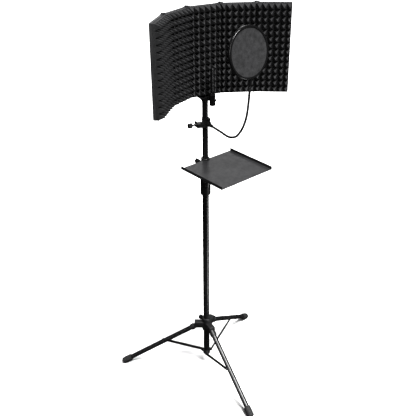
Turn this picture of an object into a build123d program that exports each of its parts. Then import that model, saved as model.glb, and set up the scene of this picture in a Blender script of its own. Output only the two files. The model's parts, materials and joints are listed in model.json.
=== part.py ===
"""Microphone isolation shield on a folding tripod stand, with a shelf and a pop filter.

Every piece is a separate solid, written to parts/NAME.step in millimetres with +Z up.

The pieces are laid out in a working frame: its origin is on the column's axis at floor level, +X runs
along the middle panel of the shield and -Y points at the singer. The whole object is then shifted so
that its origin is the middle of its bounding box on the floor.
"""
from build123d import *
from math import asin, atan2, cos, degrees, hypot, radians, sin, tan
import os

# ------------------------------------------------------------------ driving dimensions (mm, degrees)
RUN = 0.06            # radial running clearance of pins and sliding tubes
GAP = 0.3             # clearance between faces that only pass each other

# column
LOWER_R = 13.25       # lower tube, outer radius
LOWER_WALL = 1.2
LOWER_BOTTOM = 66.0
LOWER_TOP = 945.0
UPPER_R = 11.0        # upper tube, outer radius
UPPER_WALL = 1.2
UPPER_BOTTOM = 430.0
UPPER_TOP = 1290.0

# tripod
LEG_AZIMUTHS = {"left": 152.4, "front": 272.4, "rear": 32.4}
PIVOT_R = 34.0        # leg pivots from the column's axis
PIVOT_Z = 235.0
FOOT_R = 391.0        # centre of a leg's end from the column's axis
FOOT_Z = 10.0
LEG_TUBE_R = 10.5
LEG_TUBE_WALL = 1.2
FITTING_R = 14.0      # moulded fitting at a leg's upper end
FITTING_START = 24.5  # where its collar starts, just outside the hub
FITTING_END = 40.0
LEG_TUBE_START = 26.5  # where the leg's tube starts inside the collar
FOOT_CAP_R = 14.0
FOOT_CAP_LENGTH = 46.0
BRACE_PIVOT_R = 19.0
BRACE_PIVOT_Z = 76.0
BRACE_AT = 196.0      # brace rivet along the leg from its pivot
BRACE_HEIGHT = 13.0
BRACE_THICK = 3.0
RIVET_R = 3.0
FOLDED_LEG_ANGLE = 2.5    # leg from vertical when the tripod is folded
HUB_R = 19.0
HUB_BOTTOM = 205.0
HUB_TOP = 270.0
HUB_ARM_END = 54.0    # hub's box-shaped arms from the column's axis
HUB_ARM_HALF_HEIGHT = 14.0
HUB_ARM_WALL = 2.5
HUB_KNOB_AZIMUTH = 102.0
HUB_KNOB_Z = 248.0
HUB_KNOB_FACE = 33.0

# clutch that locks the telescoping column
CLUTCH_BOTTOM = 900.0
CLUTCH_SEAM = 934.0
CLUTCH_TOP = 985.0
CLUTCH_R = 20.5
CLUTCH_THREAD_R = 15.6

# shelf
REACH_AZIMUTH = 284.4     # the shelf, pop filter and microphone arm all point this way
SHELF_WIDTH = 256.0
SHELF_DEPTH = 231.0
SHELF_THICK = 1.6
SHELF_LIP = 12.0
SHELF_TOP_Z = 1056.5
SHELF_BACK = 6.5          # back edge in front of the column's axis
SHELF_CLAMP_BOTTOM = 1018.0
SHELF_CLAMP_TOP = 1061.0
SHELF_CLAMP_R = 17.0
SHELF_KNOB_X = -43.0
LINER_R = 12.5            # plastic sleeve between the tube and a clamp

# pop filter
POP_CLAMP_BOTTOM = 1191.0
POP_CLAMP_TOP = 1221.0
POP_SCREW_Z = 1206.0
POP_SCREW_R = 2.8
POP_KNOB_X = -64.0
NECK_R = 4.2
FERRULE_LENGTH = 14.0
NECK_ROUTE = [            # distance in front of the column's axis, height
    (40.0, 1204.2), (88.0, 1197.4), (134.0, 1189.0), (173.0, 1203.0),
    (204.0, 1243.0), (224.0, 1293.0), (231.5, 1345.0), (237.5, 1414.0),
]
RING_REACH = 226.0
RING_Z = 1527.0
RING_TILT = 9.0           # the ring's top leans back towards the microphone
RING_R = 90.0
RING_SECTION = 7.0
RING_DEPTH = 12.0
MESH_R = 82.5
MESH_THICK = 0.8

# shield
PANEL_BOTTOM = 1313.0
PANEL_HEIGHT = 330.0
PANEL_PITCH = 132.0       # hinge to hinge
PANEL_OFFSET_X = 4.0      # middle of the middle panel from the column's axis
PANEL_BACK_Y = 25.5       # back face of the middle panel
HINGE_DEPTH = 5.5         # hinge axis in front of a panel's back face
BEND_OUTER_LEFT = 21.0    # angle between neighbouring panels, from left to right
BEND_INNER_LEFT = 28.4
BEND_INNER_RIGHT = 21.25
BEND_OUTER_RIGHT = 8.05
SPARE_BEND = 7.0          # how much further two panels fold in before their foam meets
RIM_DEPTH = 11.0          # depth of a panel's steel tray
SHEET = 1.0
TRAY_INSET = 3.5          # tray's side edge from the hinge line
FOAM_SLAB_DEPTH = 21.0    # where the foam's pyramids start
FOAM_DEPTH = 44.0         # where they end
FOAM_TIP_INSET = 13.5     # outer pyramids' tips from the hinge line
EAR_R = 5.0
EAR_THICK = 1.2
HINGE_PIN_R = 1.8
HINGE_ROD_R = 2.6         # the pin between the trays

# bracket under the shield and microphone mount
SOCKET_BOTTOM = 1293.3
SOCKET_TOP = 1304.0
SOCKET_R = 17.5           # flared top of the socket
NECK_SOCKET_R = 11.0      # socket's neck, through the arm's ring and the bracket
ARM_THICK = 3.0
BRACKET_Z = 1307.5        # underside of the bracket's plate
BRACKET_THICK = 3.0
BRACKET_WIDTH = 52.0
STUD_FLANGE_R = 11.5
STUD_R = 7.94             # 5/8 inch thread, over its crests
MIC_REACH = 42.5
MIC_BODY_R = 11.0
MIC_BODY_BOTTOM = 1289.0
MIC_BODY_TOP = 1330.0
MIC_POST_TOP = 1430.0
MIC_BOLT_Z = 1313.0
MIC_BOLT_R = 3.0

UP = Vector(0, 0, 1)


# ------------------------------------------------------------------ small helpers
def polar(radius, azimuth, z=0.0):
    """Point at a radius and azimuth (degrees) about the Z axis."""
    return Vector(radius * cos(radians(azimuth)), radius * sin(radians(azimuth)), z)


def turn(azimuth):
    """Rotation about Z that takes +X to the azimuth."""
    return Rot(0, 0, azimuth)


def block(x0, x1, y0, y1, z0, z1):
    """Box between two corners."""
    return Pos((x0 + x1) / 2, (y0 + y1) / 2, (z0 + z1) / 2) * Box(x1 - x0, y1 - y0, z1 - z0)


def disc(radius, z0, z1):
    """Cylinder about the Z axis."""
    return Pos(0, 0, (z0 + z1) / 2) * Cylinder(radius, z1 - z0)


def pipe(outer, inner, z0, z1):
    """Hollow cylinder about the Z axis."""
    return disc(outer, z0, z1) - disc(inner, z0 - 1, z1 + 1)


def bar_x(radius, x0, x1, y=0.0, z=0.0):
    """Cylinder along X."""
    return Pos((x0 + x1) / 2, y, z) * Rot(0, 90, 0) * Cylinder(radius, x1 - x0)


def bar_y(radius, x, z, y0, y1):
    """Cylinder along Y."""
    return Pos(x, (y0 + y1) / 2, z) * Rot(90, 0, 0) * Cylinder(radius, y1 - y0)


def ends(shape, axis):
    """The edges of a shape's first and last faces along an axis."""
    faces = shape.faces().sort_by(axis)
    return faces[0].edges() + faces[-1].edges()


def star_knob(radius, height, lobes):
    """Lobed hand knob about Z, from z = 0 up."""
    outline = Circle(0.84 * radius) + PolarLocations(0.76 * radius, lobes) * Circle(0.24 * radius)
    knob = extrude(outline, height)
    return chamfer(ends(knob, Axis.Z), 0.8)


# ------------------------------------------------------------------ column
def lower_tube():
    return pipe(LOWER_R, LOWER_R - LOWER_WALL, LOWER_BOTTOM, LOWER_TOP)


def lower_tube_plug():
    """Plastic plug that closes the lower tube's bottom."""
    head = fillet(disc(LOWER_R, LOWER_BOTTOM - 5, LOWER_BOTTOM).edges().group_by(Axis.Z)[0], 3.5)
    return head + disc(LOWER_R - LOWER_WALL - RUN, LOWER_BOTTOM, LOWER_BOTTOM + 18)


def upper_tube():
    return pipe(UPPER_R, UPPER_R - UPPER_WALL, UPPER_BOTTOM, UPPER_TOP)


def upper_tube_guide():
    """Plastic guide on the upper tube's lower end, running inside the lower tube."""
    collar = disc(LOWER_R - LOWER_WALL - RUN, UPPER_BOTTOM - 16, UPPER_BOTTOM)
    insert = disc(UPPER_R - UPPER_WALL - 0.02, UPPER_BOTTOM, UPPER_BOTTOM + 20)
    return chamfer(ends(collar, Axis.Z), 0.8) + insert


def tube_top_stud():
    """Steel insert in the upper tube's top with a threaded stud."""
    flange = disc(STUD_FLANGE_R, UPPER_TOP, SOCKET_BOTTOM - GAP)
    insert = disc(UPPER_R - UPPER_WALL - 0.02, UPPER_TOP - 30, UPPER_TOP)
    stud = disc(STUD_R, SOCKET_BOTTOM - GAP, BRACKET_Z + 2)
    stud = chamfer(stud.edges().group_by(Axis.Z)[-1], 1.0)
    return insert + flange + stud


def clutch_body():
    """Collar fixed on the lower tube, with the male thread that the grip turns on."""
    collar = pipe(CLUTCH_R, LOWER_R + 0.02, CLUTCH_BOTTOM, CLUTCH_SEAM - GAP)
    collar = chamfer(collar.faces().sort_by(Axis.Z)[0].edges().sort_by(SortBy.LENGTH)[-1], 2.5)
    return collar + pipe(CLUTCH_THREAD_R, LOWER_R + 0.02, CLUTCH_SEAM - GAP, LOWER_TOP)


def clutch_bush():
    """Split bush between the two tubes, squeezed by the grip."""
    bush = pipe(LOWER_R - LOWER_WALL - 0.02, UPPER_R + RUN, LOWER_TOP - 40, LOWER_TOP)
    bush += pipe(14.5, UPPER_R + RUN, LOWER_TOP, LOWER_TOP + 6)
    return bush - block(0, 20, -0.8, 0.8, LOWER_TOP - 41, LOWER_TOP + 7)


def clutch_grip():
    """Twist grip over the clutch."""
    grip = disc(CLUTCH_R, CLUTCH_SEAM, CLUTCH_TOP)
    grip = fillet(grip.edges().group_by(Axis.Z)[-1], 3.0)
    grip = chamfer(grip.edges().group_by(Axis.Z)[0], 0.8)
    flute = Pos(0, 0, CLUTCH_SEAM + 25) * Cylinder(1.8, 34)
    grip -= PolarLocations(CLUTCH_R + 1.0, 16) * flute
    grip -= disc(CLUTCH_THREAD_R + RUN, CLUTCH_SEAM - 1, LOWER_TOP + 8)
    return grip - disc(UPPER_R + GAP, CLUTCH_SEAM, CLUTCH_TOP + 1)


# ------------------------------------------------------------------ tripod
LEG_DROP = PIVOT_Z - FOOT_Z
LEG_REACH = hypot(FOOT_R - PIVOT_R, LEG_DROP)
LEG_ANGLE = degrees(atan2(FOOT_R - PIVOT_R, LEG_DROP))    # from vertical
BRACE_END_R = PIVOT_R + BRACE_AT * sin(radians(LEG_ANGLE))
BRACE_END_Z = PIVOT_Z - BRACE_AT * cos(radians(LEG_ANGLE))
BRACE_LENGTH = hypot(BRACE_END_R - BRACE_PIVOT_R, BRACE_END_Z - BRACE_PIVOT_Z)
BRACE_ANGLE = degrees(atan2(BRACE_END_R - BRACE_PIVOT_R, BRACE_END_Z - BRACE_PIVOT_Z))
FOLDED_END_R = PIVOT_R + BRACE_AT * sin(radians(FOLDED_LEG_ANGLE))
FOLDED_BRACE_ANGLE = degrees(asin((FOLDED_END_R - BRACE_PIVOT_R) / BRACE_LENGTH))
FOLD_TRAVEL = (BRACE_PIVOT_Z + BRACE_LENGTH * cos(radians(FOLDED_BRACE_ANGLE))
               + BRACE_AT * cos(radians(FOLDED_LEG_ANGLE)) - PIVOT_Z)
EAR_INNER = LEG_TUBE_R + GAP      # a leg's end fits between the walls of the hub's arm
EAR_OUTER = EAR_INNER + HUB_ARM_WALL
STRIP_Y = LEG_TUBE_R + GAP


def leg_plane(azimuth):
    """Frame of a leg: origin at its pivot, X along the leg, Y along the pivot."""
    along = polar(sin(radians(LEG_ANGLE)), azimuth) - UP * cos(radians(LEG_ANGLE))
    return Plane(
        origin=polar(PIVOT_R, azimuth, PIVOT_Z), x_dir=along, z_dir=along.cross(pivot_axis(azimuth))
    )


def brace_plane(azimuth):
    """Frame of a brace: origin at its pivot on the column, X along the brace, Y along the pivot."""
    along = polar(sin(radians(BRACE_ANGLE)), azimuth) + UP * cos(radians(BRACE_ANGLE))
    return Plane(
        origin=polar(BRACE_PIVOT_R, azimuth, BRACE_PIVOT_Z),
        x_dir=along, z_dir=along.cross(pivot_axis(azimuth)),
    )


def pivot_axis(azimuth):
    """Horizontal direction of the pivots of the leg at an azimuth."""
    return polar(1, azimuth + 90)


def hub_collar():
    """Sliding hub with a box-shaped arm for each leg, open below, and a boss for the lock knob."""
    hub = chamfer(ends(disc(HUB_R, HUB_BOTTOM, HUB_TOP), Axis.Z), 1.5)
    half = HUB_ARM_HALF_HEIGHT
    arm = block(0, HUB_ARM_END, -EAR_OUTER, EAR_OUTER, -half, half)
    arm = fillet(arm.edges().group_by(Axis.Z)[-1], 2.0)
    arm -= block(HUB_R + 1, HUB_ARM_END + 1, -EAR_INNER, EAR_INNER, -half - 1, 2)
    arm -= block(HUB_R + 1, HUB_ARM_END - HUB_ARM_WALL, -EAR_INNER, EAR_INNER, 0, half - HUB_ARM_WALL)
    arm -= bar_y(RIVET_R + 0.02, PIVOT_R, 0, -20, 20)
    for azimuth in LEG_AZIMUTHS.values():
        hub += turn(azimuth) * Pos(0, 0, PIVOT_Z) * arm
    hub += turn(HUB_KNOB_AZIMUTH) * bar_x(7.5, HUB_R - 4, HUB_KNOB_FACE - 2, z=HUB_KNOB_Z)
    hub -= disc(LOWER_R + RUN, HUB_BOTTOM - 1, HUB_TOP + 1)
    return hub - turn(HUB_KNOB_AZIMUTH) * bar_x(4 + RUN, LOWER_R - 2, HUB_KNOB_FACE, z=HUB_KNOB_Z)


def hub_lock_knob():
    """Star knob with its moulded-in screw, which bears on the lower tube."""
    knob = star_knob(10.5, 14, 6)
    screw = disc(4, LOWER_R + GAP - HUB_KNOB_FACE, 0)
    return turn(HUB_KNOB_AZIMUTH) * Pos(HUB_KNOB_FACE, 0, HUB_KNOB_Z) * Rot(0, 90, 0) * (knob + screw)


def leg_pivot_rivets():
    """Three headed rivets across the hub's arms."""
    rivet = bar_y(RIVET_R, PIVOT_R, PIVOT_Z, -EAR_OUTER, EAR_OUTER)
    for side in (-1, 1):
        inner, outer = sorted((side * EAR_OUTER, side * (EAR_OUTER + 2)))
        rivet += bar_y(5.5, PIVOT_R, PIVOT_Z, inner, outer)
    return Compound([turn(azimuth) * rivet for azimuth in LEG_AZIMUTHS.values()])


def leg_fitting():
    """Moulded fitting on a leg's upper end, in the leg's frame: an eye and a ribbed collar."""
    fitting = bar_y(9, 0, 0, -LEG_TUBE_R, LEG_TUBE_R)
    fitting += block(0, 14, -LEG_TUBE_R, LEG_TUBE_R, -9, 9)
    fitting += bar_x(LEG_TUBE_R, 10, FITTING_START + 1)
    collar = bar_x(FITTING_R, FITTING_START, FITTING_END)
    fitting += chamfer(ends(collar, Axis.X), 1.2)
    for x in (FITTING_START + 4.5, FITTING_START + 9.5):
        fitting -= bar_x(FITTING_R + 1, x, x + 1.5) - bar_x(FITTING_R - 1, x - 1, x + 3)
    fitting -= bar_x(LEG_TUBE_R + 0.02, LEG_TUBE_START, FITTING_END + 1)
    return fitting - bar_y(RIVET_R + RUN, 0, 0, -20, 20)


def leg_tube():
    """Leg tube in the leg's frame."""
    end = LEG_REACH - 6
    return bar_x(LEG_TUBE_R, LEG_TUBE_START, end) - bar_x(LEG_TUBE_R - LEG_TUBE_WALL, 20, end + 2)


def foot_cap():
    """Ribbed rubber cap on a leg's lower end, in the leg's frame."""
    start = LEG_REACH - FOOT_CAP_LENGTH
    cap = bar_x(FOOT_CAP_R, start, LEG_REACH)
    cap = fillet(cap.edges().group_by(Axis.X)[-1], 5.0)
    cap = chamfer(cap.edges().group_by(Axis.X)[0], 1.0)
    for k in range(4):
        rib = start + 6 + 7 * k
        cap += bar_x(FOOT_CAP_R + 0.9, rib, rib + 3)
    return cap - bar_x(LEG_TUBE_R + 0.02, start - 1, LEG_REACH - 6)


def brace():
    """Flat brace with a pressed groove and its outer rivet, in the brace's frame.

    It lies on the leg's clockwise side. Its outer rivet stops just short of the leg.
    """
    y0, y1, half = STRIP_Y, STRIP_Y + BRACE_THICK, BRACE_HEIGHT / 2
    strip = block(0, BRACE_LENGTH, y0, y1, -half, half)
    strip += bar_y(half, 0, 0, y0, y1) + bar_y(half, BRACE_LENGTH, 0, y0, y1)
    strip -= block(16, BRACE_LENGTH - 16, y1 - 1.1, y1 + 1, -3, 3)
    strip -= bar_y(RIVET_R + RUN, 0, 0, y0 - 1, y1 + 1)
    return mirror(strip + bar_y(5.2, BRACE_LENGTH, 0, y1, y1 + 1.8), about=Plane.XZ)


def brace_bracket():
    """Collar at the foot of the lower tube with a lug for each brace."""
    z0, z1 = BRACE_PIVOT_Z - 9, BRACE_PIVOT_Z + 9
    collar = chamfer(ends(disc(16, z0, z1), Axis.Z), 0.8)
    lug = block(8, BRACE_PIVOT_R, 4, LEG_TUBE_R, -6.5, 6.5)
    lug += bar_y(6.5, BRACE_PIVOT_R, 0, 4, LEG_TUBE_R)
    lug -= bar_y(RIVET_R + 0.02, BRACE_PIVOT_R, 0, 0, 20)
    for azimuth in LEG_AZIMUTHS.values():
        collar += turn(azimuth) * Pos(0, 0, BRACE_PIVOT_Z) * mirror(lug, about=Plane.XZ)
    return collar - disc(LOWER_R + 0.02, z0 - 1, z1 + 1)


def brace_rivets():
    """Three rivets that hold the braces' inner ends to the bracket."""
    head = STRIP_Y + BRACE_THICK + GAP
    rivet = bar_y(RIVET_R, BRACE_PIVOT_R, BRACE_PIVOT_Z, 4.2, head)
    rivet += bar_y(5.2, BRACE_PIVOT_R, BRACE_PIVOT_Z, head, head + 1.8)
    rivet = mirror(rivet, about=Plane.XZ)
    return Compound([turn(azimuth) * rivet for azimuth in LEG_AZIMUTHS.values()])


# ------------------------------------------------------------------ shelf
def clamp_liner(z0, z1):
    """Plastic sleeve that a clamp grips the upper tube through."""
    return pipe(LINER_R, UPPER_R + RUN, z0, z1) - block(0, 20, -0.8, 0.8, z0 - 1, z1 + 1)


def shelf_frame(shape):
    """Puts a piece drawn with the shelf reaching along +X where the shelf points."""
    return turn(REACH_AZIMUTH) * shape


def shelf_clamp():
    """Collar with a screw boss at the back and a flat support under the tray."""
    z0, z1 = SHELF_CLAMP_BOTTOM, SHELF_CLAMP_TOP
    under = SHELF_TOP_Z - SHELF_THICK
    collar = chamfer(ends(disc(SHELF_CLAMP_R, z0, z1), Axis.Z), 0.8)
    support = block(8, 138, -26, 26, under - 3, under)
    support = fillet(support.edges().filter_by(Axis.Z).group_by(Axis.X)[-1], 8)
    rib = block(12, 60, -2, 2, under - 22, under - 3)
    rib -= Pos(60, 0, under - 22) * Rot(90, 0, 0) * Cylinder(17, 6)
    boss = bar_x(8, SHELF_KNOB_X + 10, -10, z=z0 + 11)
    clamp = collar + support + rib + boss
    clamp -= disc(LINER_R + RUN, z0 - 1, z1 + 1)
    clamp -= bar_x(3 + RUN, SHELF_KNOB_X, -8, z=z0 + 11)
    for x, y in shelf_stud_places():
        clamp -= Pos(x, y, under) * Cylinder(2.02, 20)
    return shelf_frame(clamp)


def shelf_stud_places():
    """Stud positions under the tray, in front of the column's axis."""
    return [(x, y) for x in (44, 124) for y in (-17, 17)]


def shelf_tray():
    """Sheet-steel tray with a turned-up lip on each side and a notch around the clamp."""
    x0, x1, half = SHELF_BACK, SHELF_BACK + SHELF_DEPTH, SHELF_WIDTH / 2
    z0, z1 = SHELF_TOP_Z - SHELF_THICK, SHELF_TOP_Z
    tray = block(x0, x1, -half, half, z0, z1)
    for y0, y1 in ((-half, -half + SHELF_THICK), (half - SHELF_THICK, half)):
        tray += block(x0, x1, y0, y1, z0, z0 + SHELF_LIP)
    return shelf_frame(tray - disc(SHELF_CLAMP_R + 0.6, z0 - 1, z1 + 20))


def shelf_studs():
    """Studs welded under the tray, with a nut on each below the support."""
    under = SHELF_TOP_Z - SHELF_THICK
    stud = disc(2.0, under - 8, under)
    nut = Pos(0, 0, under - 6.2) * extrude(RegularPolygon(4.0, 6), 3.2)
    return Compound([shelf_frame(Pos(x, y, 0) * (stud + nut)) for x, y in shelf_stud_places()])


def shelf_clamp_knob():
    """Thumb knob with its screw, on the side away from the shelf."""
    screw = disc(3, SHELF_KNOB_X + LINER_R + GAP, 0)
    knob = star_knob(11, 12, 5)
    place = Pos(SHELF_KNOB_X, 0, SHELF_CLAMP_BOTTOM + 11) * Rot(0, -90, 0)
    return shelf_frame(place * (knob + screw))


# ------------------------------------------------------------------ pop filter
def popfilter_clamp():
    """C-clamp: a jaw plate right of the tube, a web in front of it and a screw boss on the left."""
    z0, z1 = POP_CLAMP_BOTTOM, POP_CLAMP_TOP
    jaw = fillet(block(4, 15, -15, 12, z0 + 2, z1 + 7).edges().filter_by(Axis.X), 4)
    web = fillet(block(-26, 15, -19.5, -5, z0 + 6, z1 - 4).edges().filter_by(Axis.Y), 4)
    arm = block(-40, -24, -19.5, 0, z0 + 7, z1 - 7)
    boss = Pos(-33, 0, POP_SCREW_Z) * Rot(0, -90, 0) * Cone(9, 6.5, 20)
    fin = Plane.XZ * Polygon((-43, POP_SCREW_Z), (-43, z1 + 2), (-26, POP_SCREW_Z + 4), align=None)
    neck_boss = neck_start_frame(bar_x(8.5, -FERRULE_LENGTH - 16, -FERRULE_LENGTH))
    clamp = jaw + web + arm + boss + extrude(fin, 3, both=True) + neck_boss
    clamp -= disc(LINER_R + RUN, z0 - 1, z1 + 10)
    return clamp - bar_x(POP_SCREW_R + RUN, -45, -10, z=POP_SCREW_Z)


def popfilter_clamp_knob():
    """Star knob and screw of the pop filter's clamp."""
    face = POP_KNOB_X + 8
    screw = bar_x(POP_SCREW_R, face, -LINER_R - GAP, z=POP_SCREW_Z)
    knob = Pos(face, 0, POP_SCREW_Z) * Rot(0, -90, 0) * star_knob(10, 15, 8)
    return knob + screw


def reach_plane():
    """Upright plane through the column's axis: X is distance in front, Y is height."""
    return Plane(origin=(0, 0, 0), x_dir=polar(1, REACH_AZIMUTH), z_dir=polar(1, REACH_AZIMUTH - 90))


def neck_radii():
    """A radius for each corner of the gooseneck's route, as large as its runs allow."""
    radii = []
    for before, corner, after in zip(NECK_ROUTE, NECK_ROUTE[1:], NECK_ROUTE[2:]):
        first = Vector(corner[0] - before[0], corner[1] - before[1])
        second = Vector(after[0] - corner[0], after[1] - corner[1])
        bend = first.get_angle(second)
        radii.append(0.45 * min(first.length, second.length) / tan(radians(bend / 2)))
    return radii


def gooseneck():
    """Bent gooseneck between the clamp and the ring."""
    path = reach_plane() * FilletPolyline(*[Vector(x, z) for x, z in NECK_ROUTE], radius=neck_radii())
    section = Plane(origin=path @ 0, z_dir=path % 0) * Circle(NECK_R)
    return sweep(section, path=path)


def neck_start_frame(shape):
    """Puts a piece drawn along X, ending at x = 0, behind the gooseneck's first end and in line with it."""
    (x0, z0), (x1, z1) = NECK_ROUTE[:2]
    slope = degrees(atan2(z0 - z1, x1 - x0))
    return turn(REACH_AZIMUTH) * Pos(x0, 0, z0) * Rot(0, slope, 0) * shape


def gooseneck_ferrule():
    """Metal ferrule that holds the gooseneck in the clamp's boss."""
    return neck_start_frame(chamfer(ends(bar_x(6.5, -FERRULE_LENGTH, 0), Axis.X), 0.8))


RING_BOTTOM_REACH = RING_REACH + RING_R * sin(radians(RING_TILT))
RING_BOTTOM_Z = RING_Z - RING_R * cos(radians(RING_TILT))


def ring_frame(shape):
    """Puts a piece drawn about +X, with the singer on the +X side, at the pop filter's ring."""
    return turn(REACH_AZIMUTH) * Pos(RING_REACH, 0, RING_Z) * Rot(0, -RING_TILT, 0) * shape


def popfilter_hoop():
    """Outer hoop with the stem that stands on the gooseneck."""
    hoop = bar_x(RING_R, -RING_DEPTH / 2, RING_DEPTH / 2)
    hoop = fillet(ends(hoop, Axis.X), 3.0)
    hoop -= bar_x(RING_R - RING_SECTION, -20, 20)
    top = NECK_ROUTE[-1][1] + 0.2
    x = NECK_ROUTE[-1][0]
    stem = Pos(x, 0, 0) * disc(6.0, top + 0.8, RING_BOTTOM_Z + 4)
    stem = chamfer(stem.edges().group_by(Axis.Z)[0], 0.8)
    bore = ring_frame(bar_x(RING_R - RING_SECTION, -20, 20))
    return ring_frame(hoop) + turn(REACH_AZIMUTH) * stem - bore


def popfilter_spacer():
    """Inner ring that keeps the two mesh layers apart."""
    ring = bar_x(RING_R - RING_SECTION - 0.02, -3, 3) - bar_x(RING_R - RING_SECTION - 4, -20, 20)
    return ring_frame(ring)


def popfilter_mesh(side):
    """One stretched mesh layer; side is +1 towards the singer and -1 towards the microphone."""
    inner, outer = sorted((side * 3.0, side * (3.0 + MESH_THICK)))
    return ring_frame(bar_x(MESH_R, inner, outer))


# ------------------------------------------------------------------ shield
def hinge_points():
    """Hinge axes (x, y) and panel directions in degrees, from left to right."""
    y = PANEL_BACK_Y - HINGE_DEPTH
    inner_left = Vector(PANEL_OFFSET_X - PANEL_PITCH / 2, y)
    inner_right = Vector(PANEL_OFFSET_X + PANEL_PITCH / 2, y)
    directions = [
        BEND_INNER_LEFT + BEND_OUTER_LEFT, BEND_INNER_LEFT, 0.0,
        -BEND_INNER_RIGHT, -BEND_INNER_RIGHT - BEND_OUTER_RIGHT,
    ]
    outer_left = inner_left - polar(PANEL_PITCH, directions[1])
    start = outer_left - polar(PANEL_PITCH, directions[0])
    outer_right = inner_right + polar(PANEL_PITCH, directions[3])
    return [start, outer_left, inner_left, inner_right, outer_right], directions


def panel_frame_location(index):
    """Place of a panel: origin on its left hinge line at its bottom, X along it, Y towards its back."""
    points, directions = hinge_points()
    return Pos(points[index].X, points[index].Y, PANEL_BOTTOM) * Rot(0, 0, directions[index])


def hinge_ear(x, inward, z0, riser):
    """Small hinge plate around the axis at x, reaching onto the panel, at height z0 above its edge."""
    x0, x1 = sorted((x, x + inward * 12))
    plate = block(x0, x1, -EAR_R, EAR_R, z0, z0 + EAR_THICK)
    plate += Pos(x, 0, 0) * disc(EAR_R, z0, z0 + EAR_THICK)
    if riser:
        x0, x1 = sorted((x + inward * 6, x + inward * 12))
        plate += block(x0, x1, -EAR_R, EAR_R, 0, z0)
    return plate


def panel_frame(index):
    """Steel tray of one panel: back sheet, turned-in rim and hinge ears, in the panel's frame."""
    x0, x1 = TRAY_INSET, PANEL_PITCH - TRAY_INSET
    back = HINGE_DEPTH
    front = back - RIM_DEPTH
    tray = block(x0, x1, front, back, 0, PANEL_HEIGHT)
    tray -= block(x0 + SHEET, x1 - SHEET, front - 1, back - SHEET, SHEET, PANEL_HEIGHT - SHEET)
    ears = []
    if index > 0:
        ears.append(hinge_ear(0, 1, EAR_THICK + GAP, riser=True))
    if index < 4:
        ears.append(hinge_ear(PANEL_PITCH, -1, 0, riser=False))
    for ear in ears:
        top = Pos(0, 0, PANEL_HEIGHT) * ear
        tray += top + mirror(top, about=Plane.XY.offset(PANEL_HEIGHT / 2))
    holes = [(0, RUN)] * (index > 0) + [(PANEL_PITCH, 0.02)] * (index < 4)
    for x, clearance in holes:
        tray -= Pos(x, 0, 0) * disc(HINGE_PIN_R + clearance, -10, PANEL_HEIGHT + 10)
    return tray


def foam_mitres(index):
    """Angles of a foam pad's left and right edges from square; None at the shield's two ends."""
    bends = [None, BEND_OUTER_LEFT, BEND_INNER_LEFT, BEND_INNER_RIGHT, BEND_OUTER_RIGHT, None]
    return [None if bend is None else (bend + SPARE_BEND) / 2 for bend in bends[index:index + 2]]


def foam_inset(mitre, depth):
    """Inset of a foam edge from its hinge line, at a depth from the panel's back face."""
    if mitre is None:
        return TRAY_INSET
    return (depth - HINGE_DEPTH) * tan(radians(mitre)) + GAP


def panel_foam(index):
    """Foam pad in the panel's frame: a mitred slab and the block that its pyramids fill."""
    def section(depth, left, right, margin):
        plane = Plane(
            origin=((PANEL_PITCH + left - right) / 2, HINGE_DEPTH - depth, PANEL_HEIGHT / 2),
            x_dir=(1, 0, 0), z_dir=(0, -1, 0),
        )
        return plane * Rectangle(PANEL_PITCH - left - right, PANEL_HEIGHT - 2 * margin)

    in_tray = TRAY_INSET + SHEET
    behind, front = ([foam_inset(m, depth) for m in foam_mitres(index)]
                     for depth in (RIM_DEPTH, FOAM_SLAB_DEPTH))
    pad = loft([section(SHEET, in_tray, in_tray, SHEET), section(RIM_DEPTH, in_tray, in_tray, SHEET)])
    pad += loft([section(RIM_DEPTH, *behind, SHEET), section(FOAM_SLAB_DEPTH, *front, SHEET)])
    tips = section(FOAM_DEPTH, FOAM_TIP_INSET, FOAM_TIP_INSET, 9)
    return pad + loft([section(FOAM_SLAB_DEPTH, *front, SHEET), tips])


def hinge_pin():
    """Full-height pin of one hinge with a head at each end, in the frame of the panel on its left."""
    stack = 2 * EAR_THICK + GAP
    head = disc(4.0, stack + 0.1, stack + 1.9)
    head = fillet(head.edges().group_by(Axis.Z)[-1], 1.2)
    top = Pos(0, 0, PANEL_HEIGHT) * (head + disc(HINGE_PIN_R, -GAP, stack + 0.1))
    rod = disc(HINGE_ROD_R, GAP, PANEL_HEIGHT - GAP)
    return Pos(PANEL_PITCH, 0, 0) * (rod + top + mirror(top, about=Plane.XY.offset(PANEL_HEIGHT / 2)))


# ------------------------------------------------------------------ bracket and microphone mount
def shield_socket():
    """Flared socket that screws onto the column's stud; its neck carries the arm and the bracket."""
    height = SOCKET_TOP - SOCKET_BOTTOM
    profile = Plane.XZ * make_face(
        Polyline((0, SOCKET_TOP), (0, SOCKET_BOTTOM), (STUD_FLANGE_R, SOCKET_BOTTOM))
        + RadiusArc((STUD_FLANGE_R, SOCKET_BOTTOM), (SOCKET_R, SOCKET_TOP - 2), 1.2 * height)
        + Polyline((SOCKET_R, SOCKET_TOP - 2), (SOCKET_R, SOCKET_TOP), (0, SOCKET_TOP))
    )
    socket = revolve(profile, Axis.Z) + disc(NECK_SOCKET_R, SOCKET_TOP, BRACKET_Z + BRACKET_THICK)
    return socket - disc(STUD_R + RUN, SOCKET_BOTTOM - 1, BRACKET_Z + 10)


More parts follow.
